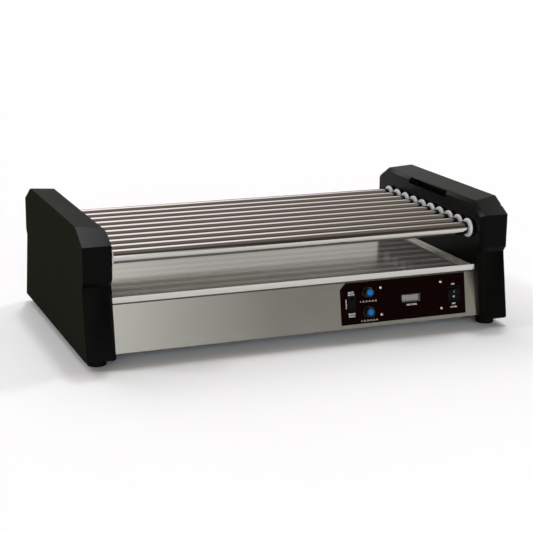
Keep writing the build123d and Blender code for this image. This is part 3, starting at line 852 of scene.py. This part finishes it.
@dataclass
class DripTray:
    """Shallow pan with a higher front edge, under the rollers."""

    sheet: float = 1.0 * MM
    side_height: float = 8.0 * MM
    fold: float = 0.35 * MM
    front_fold: float = 0.9 * MM

    def build(self) -> None:
        """Model the pan from a block: sink its top, draw up its front edge and round the fold below."""
        low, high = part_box("drip_tray")
        top = low.z + self.side_height
        front = low.y + self.sheet
        deselect()
        middle = ((low.x + high.x) / 2, (low.y + high.y) / 2, (low.z + top) / 2)
        bpy.ops.mesh.primitive_cube_add(size=1, location=middle)
        piece = bpy.context.object
        piece.name = "drip_tray_pan"
        piece.scale = (high.x - low.x, high.y - low.y, self.side_height)
        bpy.ops.object.transform_apply(location=True, rotation=True, scale=True)
        edit(piece)
        select_level(top)
        bpy.ops.mesh.inset(thickness=self.sheet)
        sink = self.sheet - self.side_height
        bpy.ops.mesh.extrude_region_move(TRANSFORM_OT_translate={"value": (0, 0, sink)})
        select("FACE", lambda face: self.is_front_rim(face.calc_center_median(), front, top))
        bpy.ops.mesh.extrude_region_move(TRANSFORM_OT_translate={"value": (0, 0, high.z - top)})
        round_edge(low.y, low.z, self.front_fold)
        bpy.ops.object.mode_set(mode="OBJECT")
        soften(piece, self.fold)
        fit(piece, TRAY_STEEL, "tray_stainless", "tray", "drip_tray")

    def is_front_rim(self, centre: Vector, front: float, top: float) -> bool:
        """Tell whether a face is the top of the front edge.

        Args:
            centre: Middle of the face.
            front: Inner side of the front edge.
            top: Height of the pan's sides.

        Returns:
            True for the front edge's top.
        """
        return centre.y < front and abs(centre.z - top) < MERGE


@dataclass
class Base:
    """Folded panels, feet and cord gland."""

    fold: float = 0.5 * MM
    top_fold: float = 1.8 * MM
    top_fold_segments: int = 4
    foot_radius: float = 18.0 * MM
    foot_lip: float = 1.2 * MM
    foot_rim: float = 4.0 * MM
    foot_top_share: float = 0.8
    foot_sole_share: float = 0.95
    spigot_radius: float = 4.0 * MM
    foot_sides: int = 48
    foot_edge: float = 0.4 * MM
    gland_edge: float = 0.4 * MM

    def build_sheets(self) -> None:
        """Round the folds of the panels that show and dress the sheets between them."""
        for node in ("front_panel", "rear_panel"):
            piece = cad_copy(node, f"{node}_sheet")
            if node == "front_panel":
                self.round_top(piece)
            soften(piece, self.fold)
            fit(piece, STAINLESS, "stainless", ROOT_BODY, node)
        MATERIALS.dress(ZINC, "base_pan", "deck")

    def round_top(self, piece: bpy.types.Object) -> None:
        """Round the bend along the front panel's top.

        Args:
            piece: The front panel.
        """
        top = max(vert.co.z for vert in piece.data.vertices)
        front = min(vert.co.y for vert in piece.data.vertices if vert.co.z > top - MERGE)
        edit(piece)
        round_edge(front, top, self.top_fold, self.top_fold_segments)
        bpy.ops.object.mode_set(mode="OBJECT")

    def build_feet(self) -> None:
        """Model one flared foot and copy it under the four corners."""
        low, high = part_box("feet")
        radius = self.foot_radius
        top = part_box("left_end_shell")[0].z
        profile = [
            (radius * self.foot_sole_share, 0),
            (radius, self.foot_lip),
            (radius, self.foot_rim),
            (radius * self.foot_top_share, top),
            (self.spigot_radius, top),
            (self.spigot_radius, high.z),
        ]
        pattern = turn_profile("foot_pattern", profile, self.foot_sides)
        soften(pattern, self.foot_edge)
        columns = (low.x + radius, high.x - radius)
        rows = (low.y + radius, high.y - radius)
        spots = [(x, y, 0) for x in columns for y in rows]
        pieces = [copy_to(pattern, "foot", Matrix.Translation(spot)) for spot in spots]
        discard(pattern)
        fit(join(pieces, "rubber_feet"), RUBBER, "foot_rubber", ROOT_BODY, "feet")

    def build(self) -> None:
        """Build the sheets, the feet and the cord gland."""
        self.build_sheets()
        self.build_feet()
        gland = cad_copy("cord_gland", "cord_bushing")
        soften(gland, self.gland_edge)
        fit(gland, SWITCH_PLASTIC, "gland_black", ROOT_BODY, "cord_gland")


class Drive:
    """Motor and chain inside the machine."""

    def build(self) -> None:
        """Dress the hidden drive."""
        MATERIALS.dress(CHAIN_STEEL, "drive_chain", "motor_shaft", "motor_sprocket")
        MATERIALS.dress(MOTOR_PAINT, "gear_motor")


class PanelPlane:
    """Plane of the slanted front panel, measured along and up it from the upper knob."""

    def __init__(self) -> None:
        """Read the plane's place and slope from the upper knob's joint."""
        knob = joint("upper_knob_turn")
        axis = Vector(knob["axis"])
        self.origin = Vector(knob["pos_m"])
        self.turn = Matrix.Rotation(math.atan2(axis.y, -axis.z), 4, "X")

    def spot(self, along: float, up: float, out: float = 0.0) -> Matrix:
        """Place on the plane.

        Args:
            along: Distance to the right of the upper knob.
            up: Distance up the slope from it.
            out: Distance out of the panel's face.

        Returns:
            The matrix of the place.
        """
        return Matrix.Translation(self.origin) @ self.turn @ Matrix.Translation((along, up, out))

    def at_joint(self, name: str) -> Matrix:
        """Place of a joint's point, turned to the plane."""
        return Matrix.Translation(Vector(joint(name)["pos_m"])) @ self.turn

    def middle_of(self, node: str) -> Matrix:
        """Place on the plane below the middle of a node.

        Args:
            node: Name of the node.

        Returns:
            The matrix of the place.
        """
        low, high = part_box(node)
        local = (Matrix.Translation(self.origin) @ self.turn).inverted() @ ((low + high) / 2)
        return self.spot(local.x, local.y)


@dataclass
class Knobs:
    """Two heat knobs with their blue caps."""

    plane: PanelPlane
    clearance: float = 1.5 * MM
    height: float = 15.0 * MM
    collar_radius: float = 10.8 * MM
    collar_height: float = 4.0 * MM
    collar_edge: float = 1.0 * MM
    radius: float = 9.4 * MM
    crown_radius: float = 8.2 * MM
    crown_height: float = 1.2 * MM
    cap_radius: float = 5.8 * MM
    cap_gap: float = 0.12 * MM
    cap_seat: float = 1.8 * MM
    cap_proud: float = 0.6 * MM
    cap_edge: float = 0.6 * MM
    flutes: int = 30
    flute_depth_share: float = 0.03
    flute_margin: float = 0.12 * MM
    sides: int = 60
    grip_smooth_angle: float = 35.0
    cap_smooth_angle: float = 50.0

    def knob_pattern(self) -> bpy.types.Object:
        """Model one knob about the Z axis: collar, fluted grip and cap seat.

        Returns:
            The pattern knob.
        """
        low = self.clearance
        collar = low + self.collar_height
        high = low + self.height
        seat = self.cap_radius + self.cap_gap
        profile = [
            (self.collar_radius, low),
            (self.collar_radius, collar - self.collar_edge),
            (self.collar_radius - self.collar_edge, collar),
            (self.radius, collar),
            (self.radius, high - self.crown_height),
            (self.crown_radius, high),
            (seat, high),
            (seat, high - self.cap_seat),
        ]
        piece = turn_profile("knob_pattern", profile, self.sides)
        edit(piece)
        middle = (collar + high - self.crown_height) / 2
        select("FACE", lambda face: self.is_flute(face.calc_center_median(), middle))
        bpy.ops.mesh.inset(thickness=self.flute_margin, use_individual=True)
        share = 1 - self.flute_depth_share
        bpy.ops.transform.resize(value=(share, share, 1), center_override=(0, 0, 0))
        bpy.ops.object.mode_set(mode="OBJECT")
        smooth(piece, self.grip_smooth_angle)
        return piece

    def is_flute(self, centre: Vector, middle: float) -> bool:
        """Tell whether a face is every other long side of the grip.

        Args:
            centre: Middle of the face.
            middle: Height of the middle of the grip.

        Returns:
            True for a flute.
        """
        on_grip = abs(centre.z - middle) < MERGE and centre.xy.length > self.cap_radius
        number = round(math.atan2(centre.y, centre.x) / math.tau * self.sides - 0.5)
        return on_grip and number % (self.sides // self.flutes) == 0

    def cap_pattern(self) -> bpy.types.Object:
        """Model one cap about the Z axis, with a slight crown.

        Returns:
            The pattern cap.
        """
        high = self.clearance + self.height
        profile = [
            (self.cap_radius, high - self.cap_seat),
            (self.cap_radius, high + self.cap_proud - self.cap_edge),
            (self.cap_radius - self.cap_edge, high + self.cap_proud),
            (self.cap_radius / 3, high + self.cap_proud + self.cap_edge / 3),
        ]
        piece = turn_profile("cap_pattern", profile, self.sides)
        smooth(piece, self.cap_smooth_angle)
        return piece

    def build(self) -> None:
        """Copy the knob and its cap to both controls."""
        knob = self.knob_pattern()
        cap = self.cap_pattern()
        for word in ("upper", "lower"):
            spot = self.plane.at_joint(f"{word}_knob_turn")
            body = f"{word}_knob"
            grip = copy_to(knob, f"{word}_fluted_knob", spot)
            fit(grip, KNOB_PLASTIC, "knob_black", body, f"{word}_heat_knob")
            disc = copy_to(cap, f"{word}_blue_cap", spot)
            fit(disc, CAP_BLUE, "cap_blue", body, f"{word}_knob_cap")
            MATERIALS.dress(ZINC, f"{word}_heat_control")
        discard(knob, cap)


@dataclass
class Switches:
    """Zone rocker and power rocker with their marks."""

    plane: PanelPlane
    edge: float = 0.4 * MM
    tilt: float = 10.0
    half_rise: float = 4.2 * MM
    face_slope: float = 8.9
    mark_up: float = 5.0 * MM
    mark_size: float = 5.2 * MM

    def mark_spot(self, way: int) -> Matrix:
        """Place on the upper or lower face of the power rocker.

        Args:
            way: 1 for the upper face, -1 for the lower one.

        Returns:
            The matrix of the place.
        """
        tilted = self.plane.at_joint("power_rocker_tilt") @ Matrix.Rotation(math.radians(self.tilt), 4, "X")
        lifted = tilted @ Matrix.Translation((0, way * self.mark_up, self.half_rise))
        return lifted @ Matrix.Rotation(math.radians(way * self.face_slope), 4, "X")

    def build(self) -> None:
        """Round both switches and print the power rocker's marks."""
        for word in ("zone", "power"):
            case = cad_copy(f"{word}_switch", f"{word}_switch_case")
            soften(case, self.edge)
            fit(case, SWITCH_PLASTIC, "switch_black", ROOT_BODY, f"{word}_switch")
            rocker = cad_copy(f"{word}_rocker", f"{word}_switch_rocker")
            soften(rocker, self.edge)
            fit(rocker, SWITCH_PLASTIC, "switch_black", f"{word}_paddle", f"{word}_rocker")
        for mark, way, name in (("I", 1, "on_mark"), ("O", -1, "off_mark")):
            piece = printed(name, mark, self.mark_size, self.mark_spot(way))
            fit(piece, INK, "bush_white", "power_paddle")


@dataclass(frozen=True)
class Legend:
    """Printed words on the control plate, placed along and up it from the upper knob."""

    name: str
    words: str
    along: float
    up: float
    size: float = 4.5 * MM
    turn: float = 0.0


@dataclass
class ControlPlate:
    """Dark plate with its screws, display and print."""

    plane: PanelPlane
    film: float = 1.0 * MM
    edge: float = 0.2 * MM
    middle_up: float = -19.8 * MM
    screw_rise: float = 25.75 * MM
    screw_radius: float = 3.4 * MM
    shank_radius: float = 1.5 * MM
    screw_reach: float = 8.0 * MM
    dome: tuple[tuple[float, float], ...] = ((1.0, 0.5), (0.88, 1.3), (0.62, 1.9), (0.3, 2.2))
    screw_sides: int = 32
    screw_smooth_angle: float = 50.0
    bar_half: float = 2.1 * MM
    bar_radius: float = 0.56 * MM
    bar_height: float = 0.1 * MM
    bar_sides: int = 6
    digit_half_width: float = 2.83 * MM
    digit_rise: float = 4.3 * MM
    digit_pitch: float = 8.9 * MM
    digit_depth: float = -5.0 * MM
    digits: int = 4
    legends: tuple[Legend, ...] = (
        Legend("back_legend", "BACK\nROWS", -32.8 * MM, -0.9 * MM),
        Legend("front_legend", "FRONT\nROWS", -32.7 * MM, -42.0 * MM),
        Legend("side_legend", "ROLLER HEAT", -43.8 * MM, -19.8 * MM, 2.9 * MM, 90.0),
        Legend("upper_heat_legend", "1 - 2 - 3 - 4 - 5 - 6", 2.2 * MM, -18.0 * MM, 4.7 * MM),
        Legend("lower_heat_legend", "1 - 2 - 3 - 4 - 5 - 6", 2.9 * MM, -54.7 * MM, 4.7 * MM),
        Legend("display_legend", "HEAT LEVEL", 94.5 * MM, -32.7 * MM, 4.2 * MM),
        Legend("on_legend", "ON", 185.4 * MM, -1.1 * MM),
        Legend("off_legend", "OFF", 185.7 * MM, -39.2 * MM),
        Legend("power_legend", "POWER", 185.4 * MM, -45.7 * MM, 4.0 * MM),
    )

    def build_plate(self) -> None:
        """Round the plate's edge and dress what is behind it."""
        plate = cad_copy("control_plate", "control_film")
        soften(plate, self.edge)
        fit(plate, PLATE_FILM, "plate_maroon", ROOT_BODY, "control_plate")
        MATERIALS.dress(DISPLAY_FACE, "display_module")
        MATERIALS.dress(WINDOW, "display_window")
        MATERIALS.dress(BOARD, "control_board")

    def build_screws(self) -> None:
        """Model one domed screw and copy it to the four corners of the board."""
        low = self.film
        shank = self.shank_radius
        profile = [(shank, low - self.screw_reach), (shank, low), (self.screw_radius, low)]
        profile += [(share * self.screw_radius, low + rise * MM) for share, rise in self.dome]
        pattern = turn_profile("screw_pattern", profile, self.screw_sides)
        smooth(pattern, self.screw_smooth_angle)
        low_box, high_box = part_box("control_screws")
        pieces = []
        for x in (low_box.x + self.screw_radius, high_box.x - self.screw_radius):
            for way in (-1, 1):
                spot = self.plane.spot(x - self.plane.origin.x, self.middle_up + way * self.screw_rise)
                pieces.append(copy_to(pattern, "screw", spot))
        discard(pattern)
        fit(join(pieces, "domed_screws"), SCREW_STEEL, "screw_steel", ROOT_BODY, "control_screws")

    def bar_pattern(self) -> bpy.types.Object:
        """Model one bar of a seven-part digit, along X.

        Returns:
            The pattern bar.
        """
        piece = start_cylinder("bar_pattern", self.bar_radius, 0, self.bar_height, self.bar_sides)
        stretch = self.bar_half - self.bar_radius
        for way in (-1, 1):
            select("VERT", lambda vert: vert.co.x * way > MERGE)
            bpy.ops.transform.translate(value=(way * stretch, 0, 0))
        bpy.ops.object.mode_set(mode="OBJECT")
        return piece

    def build_digits(self) -> None:
        """Lay the seven-part digits on the display's face."""
        bar = self.bar_pattern()
        bars = [(0, row * self.digit_rise, 0) for row in (-1, 0, 1)]
        for side in (-1, 1):
            column = side * self.digit_half_width
            bars += [(column, row * self.digit_rise / 2, RIGHT_ANGLE) for row in (-1, 1)]
        middle = self.plane.middle_of("display_window")
        pieces = []
        for index in range(self.digits):
            across = (index - (self.digits - 1) / 2) * self.digit_pitch
            for x, y, angle in bars:
                spot = middle @ Matrix.Translation((across + x, y, self.digit_depth))
                pieces.append(copy_to(bar, "bar", spot @ Matrix.Rotation(math.radians(angle), 4, "Z")))
        discard(bar)
        fit(join(pieces, "display_digits"), DIGIT, "display_grey")

    def build(self) -> None:
        """Build the plate, the screws, the digits and the print."""
        self.build_plate()
        self.build_screws()
        self.build_digits()
        for legend in self.legends:
            spot = self.plane.spot(legend.along, legend.up, self.film)
            spot = spot @ Matrix.Rotation(math.radians(legend.turn), 4, "Z")
            fit(printed(legend.name, legend.words, legend.size, spot), INK, "bush_white")


# Studio


@dataclass(frozen=True)
class Glow:
    """Soft patch of light in the studio's surroundings, cut off below a height."""

    towards: Point
    colour: Colour
    full: float
    none: float
    low_none: float = -0.1
    low_full: float = 0.0


@dataclass(frozen=True)
class Sun:
    """Distant lamp, by where its light comes from, its strength and its breadth in degrees."""

    source: Point
    strength: float
    breadth: float


@dataclass
class Studio:
    """White floor, soft light and the camera at the photograph's angle."""

    floor_half: float = 40.0
    floor_colour: Colour = (0.945, 0.95, 0.96)
    floor_mottle: float = 0.995
    floor_pattern: float = 3.0
    floor_roughness: float = 0.9
    surround: Colour = (0.055, 0.05, 0.042)
    glows: tuple[Glow, ...] = (
        Glow((0.1, 0.62, 0.77), (1.6, 1.5, 1.68), 0.97, 0.87),
        Glow((-0.25, 0.9, 0.36), (1.9, 1.9, 1.82), 0.95, 0.75, 0.21, 0.28),
        Glow((0.6, 0.74, 0.3), (0.42, 0.42, 0.4), 0.975, 0.93),
        Glow((-0.25, -1.0, 0.15), (2.4, 2.47, 2.54), 0.93, 0.81),
        Glow((0.62, -0.79, 0.08), (0.37, 0.365, 0.31), 0.99, 0.97),
        Glow((0.0, 0.1, 1.0), (0.17, 0.149, 0.119), 0.9, 0.5),
    )
    suns: tuple[Sun, ...] = (
        Sun((0.16, 0.3, 0.94), 0.7, 7.0),
        Sun((0.63, 0.25, 0.735), 0.55, 12.0),
        Sun((-0.6, 0.29, 0.74), 0.42, 8.0),
    )
    camera_place: Point = (-0.9879, -2.4966, 0.7938)
    camera_turn: Point = (75.419, -0.639, -21.645)
    lens: float = 93.41
    sensor: float = 36.0

    def build_floor(self) -> None:
        """Lay a wide white floor with a faint mottle."""
        deselect()
        bpy.ops.mesh.primitive_plane_add(size=2 * self.floor_half)
        floor = bpy.context.object
        floor.name = "floor"
        shader = Shader("floor_paint")
        low = tuple(self.floor_mottle * part for part in self.floor_colour)
        shader.drive(shader.ramp(shader.noise(self.floor_pattern), low, self.floor_colour), "Base Color")
        shader.set(Roughness=self.floor_roughness, Specular_IOR_Level=0.0)
        floor.data.materials.append(shader.material)

    def build_world(self) -> None:
        """Light the studio from all round, with soft brighter patches."""
        world = bpy.data.worlds.new("studio")
        bpy.context.scene.world = world
        world.use_nodes = True
        tree = world.node_tree
        way = tree.nodes.new("ShaderNodeTexCoord").outputs["Generated"]
        start = tree.nodes.new("ShaderNodeCombineXYZ")
        for socket, part in zip(start.inputs, self.surround):
            socket.default_value = part
        total = start.outputs["Vector"]
        for glow in self.glows:
            total = self.add_glow(tree, way, total, glow)
        tree.links.new(total, tree.nodes["Background"].inputs["Color"])

    def add_glow(
        self, tree: bpy.types.NodeTree, way: bpy.types.NodeSocket, total: bpy.types.NodeSocket, glow: Glow
    ) -> bpy.types.NodeSocket:
        """Add one patch of light to the surroundings.

        Args:
            tree: Node tree of the world.
            way: Socket with the direction looked at.
            total: Socket with the light so far.
            glow: The patch.

        Returns:
            Socket with the light and the patch.
        """
        facing = tree.nodes.new("ShaderNodeVectorMath")
        facing.operation = "DOT_PRODUCT"
        facing.inputs[1].default_value = Vector(glow.towards).normalized()
        fade = tree.nodes.new("ShaderNodeMapRange")
        fade.interpolation_type = "SMOOTHSTEP"
        fade.inputs["From Min"].default_value = glow.none
        fade.inputs["From Max"].default_value = glow.full
        height = tree.nodes.new("ShaderNodeSeparateXYZ")
        above = tree.nodes.new("ShaderNodeMapRange")
        above.interpolation_type = "SMOOTHSTEP"
        above.inputs["From Min"].default_value = glow.low_none
        above.inputs["From Max"].default_value = glow.low_full
        share = tree.nodes.new("ShaderNodeMath")
        share.operation = "MULTIPLY"
        patch = tree.nodes.new("ShaderNodeVectorMath")
        patch.operation = "SCALE"
        patch.inputs[0].default_value = glow.colour
        both = tree.nodes.new("ShaderNodeVectorMath")
        both.operation = "ADD"
        tree.links.new(way, facing.inputs[0])
        tree.links.new(facing.outputs["Value"], fade.inputs["Value"])
        tree.links.new(way, height.inputs["Vector"])
        tree.links.new(height.outputs["Z"], above.inputs["Value"])
        tree.links.new(fade.outputs["Result"], share.inputs[0])
        tree.links.new(above.outputs["Result"], share.inputs[1])
        tree.links.new(share.outputs["Value"], patch.inputs["Scale"])
        tree.links.new(total, both.inputs[0])
        tree.links.new(patch.outputs["Vector"], both.inputs[1])
        return both.outputs["Vector"]

    def build_suns(self) -> None:
        """Hang the distant lamps."""
        for number, sun in enumerate(self.suns, start=1):
            data = bpy.data.lights.new(f"sun_{number}", "SUN")
            data.energy = sun.strength
            data.angle = math.radians(sun.breadth)
            lamp = bpy.data.objects.new(data.name, data)
            lamp.rotation_mode = "QUATERNION"
            lamp.rotation_quaternion = (-Vector(sun.source)).to_track_quat("-Z", "Y")
            bpy.context.scene.collection.objects.link(lamp)

    def build_camera(self) -> None:
        """Set the camera where the photograph was taken from."""
        data = bpy.data.cameras.new("camera")
        data.lens = self.lens
        data.sensor_width = self.sensor
        camera = bpy.data.objects.new("camera", data)
        bpy.context.scene.collection.objects.link(camera)
        turn = Euler([math.radians(part) for part in self.camera_turn]).to_matrix().to_4x4()
        camera.matrix_world = Matrix.Translation(self.camera_place) @ turn
        bpy.context.scene.camera = camera

    def build(self) -> None:
        """Build floor, surroundings, lamps and camera."""
        self.build_floor()
        self.build_world()
        self.build_suns()
        self.build_camera()
        bpy.context.scene.view_settings.view_transform = "Standard"


def main() -> None:
    """Build the machine's looks in order."""
    logging.basicConfig(level=logging.INFO, format="%(name)s: %(message)s")
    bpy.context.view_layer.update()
    Studio().build()
    for side in Side:
        EndHousing(side).build()
    RollerBed().build()
    DripTray().build()
    Base().build()
    Drive().build()
    plane = PanelPlane()
    ControlPlate(plane).build()
    Knobs(plane).build()
    Switches(plane).build()


if __name__ == "__main__":
    main()
